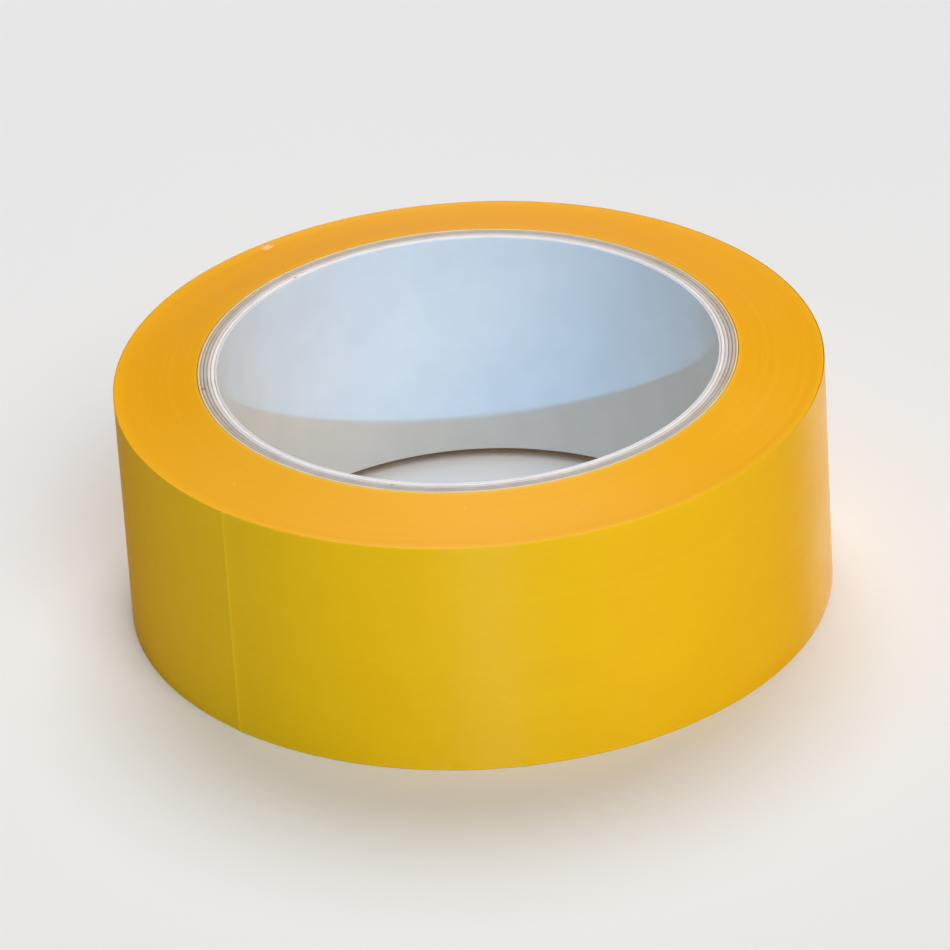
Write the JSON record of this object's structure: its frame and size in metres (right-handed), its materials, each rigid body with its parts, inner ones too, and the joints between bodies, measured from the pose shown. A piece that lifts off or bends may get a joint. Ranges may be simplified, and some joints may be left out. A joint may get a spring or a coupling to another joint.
{
  "type": "masking tape roll",
  "caption": "Orange-yellow washi masking tape wound on a white spiral-wound paperboard core, lying flat, with a free end that lifts and peels off the roll.",
  "frame": {"origin": "centre of the roll on the plane it lies on", "axes": "+Z along the roll's axis, upwards; the camera side of the roll is -Y"},
  "size_m": [0.1082, 0.1082, 0.04],
  "materials": {
    "core_liner": "smooth satin white liner",
    "core_board": "matt grey-white board, cut ends fibrous",
    "core_wrap": "matt warm white outer wrap",
    "tape_edge": "fine layer edges with a soft radial sheen, deeper orange",
    "tape_back": "translucent washi backing with release coat, low sheen"
  },
  "bodies": {
    "roll": {"core_liner": "core_liner", "core_ply_1": "core_board", "core_ply_2": "core_board", "core_ply_3": "core_board", "core_ply_4": "core_board", "core_wrap": "core_wrap", "tape_pack": "tape_edge"},
    "outer_turn": {"outer_turn": "tape_back"},
    "tape_end_1": {"tape_end_1": "tape_back"},
    "tape_end_2": {"tape_end_2": "tape_back"},
    "tape_end_3": {"tape_end_3": "tape_back"},
    "tape_end_4": {"tape_end_4": "tape_back"},
    "tape_end_5": {"tape_end_5": "tape_back"},
    "tape_end_6": {"tape_end_6": "tape_back"},
    "tape_end_7": {"tape_end_7": "tape_back"},
    "tape_end_8": {"tape_end_8": "tape_back"}
  },
  "joints": [
    {"name": "unwind", "type": "hinge", "parent": "roll", "child": "outer_turn", "pos_m": [0, 0, 0.019], "axis": [0, 0, 1], "continuous": true},
    {"name": "peel", "type": "hinge", "parent": "outer_turn", "child": "tape_end_1", "pos_m": [0.0185, -0.05084, 0.019], "axis": [0, 0, 1], "range_deg": [0, 90]},
    {"name": "peel_2", "type": "hinge", "parent": "tape_end_1", "child": "tape_end_2", "pos_m": [0.01125, -0.05292, 0.019], "axis": [0, 0, 1], "range_deg": [0, 9]},
    {"name": "peel_3", "type": "hinge", "parent": "tape_end_2", "child": "tape_end_3", "pos_m": [0.00377, -0.05397, 0.019], "axis": [0, 0, 1], "range_deg": [0, 9]},
    {"name": "peel_4", "type": "hinge", "parent": "tape_end_3", "child": "tape_end_4", "pos_m": [-0.00377, -0.05397, 0.019], "axis": [0, 0, 1], "range_deg": [0, 9]},
    {"name": "peel_5", "type": "hinge", "parent": "tape_end_4", "child": "tape_end_5", "pos_m": [-0.01125, -0.05292, 0.019], "axis": [0, 0, 1], "range_deg": [0, 9]},
    {"name": "peel_6", "type": "hinge", "parent": "tape_end_5", "child": "tape_end_6", "pos_m": [-0.0185, -0.05084, 0.019], "axis": [0, 0, 1], "range_deg": [0, 9]},
    {"name": "peel_7", "type": "hinge", "parent": "tape_end_6", "child": "tape_end_7", "pos_m": [-0.0254, -0.04777, 0.019], "axis": [0, 0, 1], "range_deg": [0, 9]},
    {"name": "peel_8", "type": "hinge", "parent": "tape_end_7", "child": "tape_end_8", "pos_m": [-0.0318, -0.04377, 0.019], "axis": [0, 0, 1], "range_deg": [0, 9]}
  ],
  "couplings": [
    {"joint": "peel_2", "follows": "peel", "ratio": 0.1},
    {"joint": "peel_3", "follows": "peel", "ratio": 0.1},
    {"joint": "peel_4", "follows": "peel", "ratio": 0.1},
    {"joint": "peel_5", "follows": "peel", "ratio": 0.1},
    {"joint": "peel_6", "follows": "peel", "ratio": 0.1},
    {"joint": "peel_7", "follows": "peel", "ratio": 0.1},
    {"joint": "peel_8", "follows": "peel", "ratio": 0.1}
  ]
}
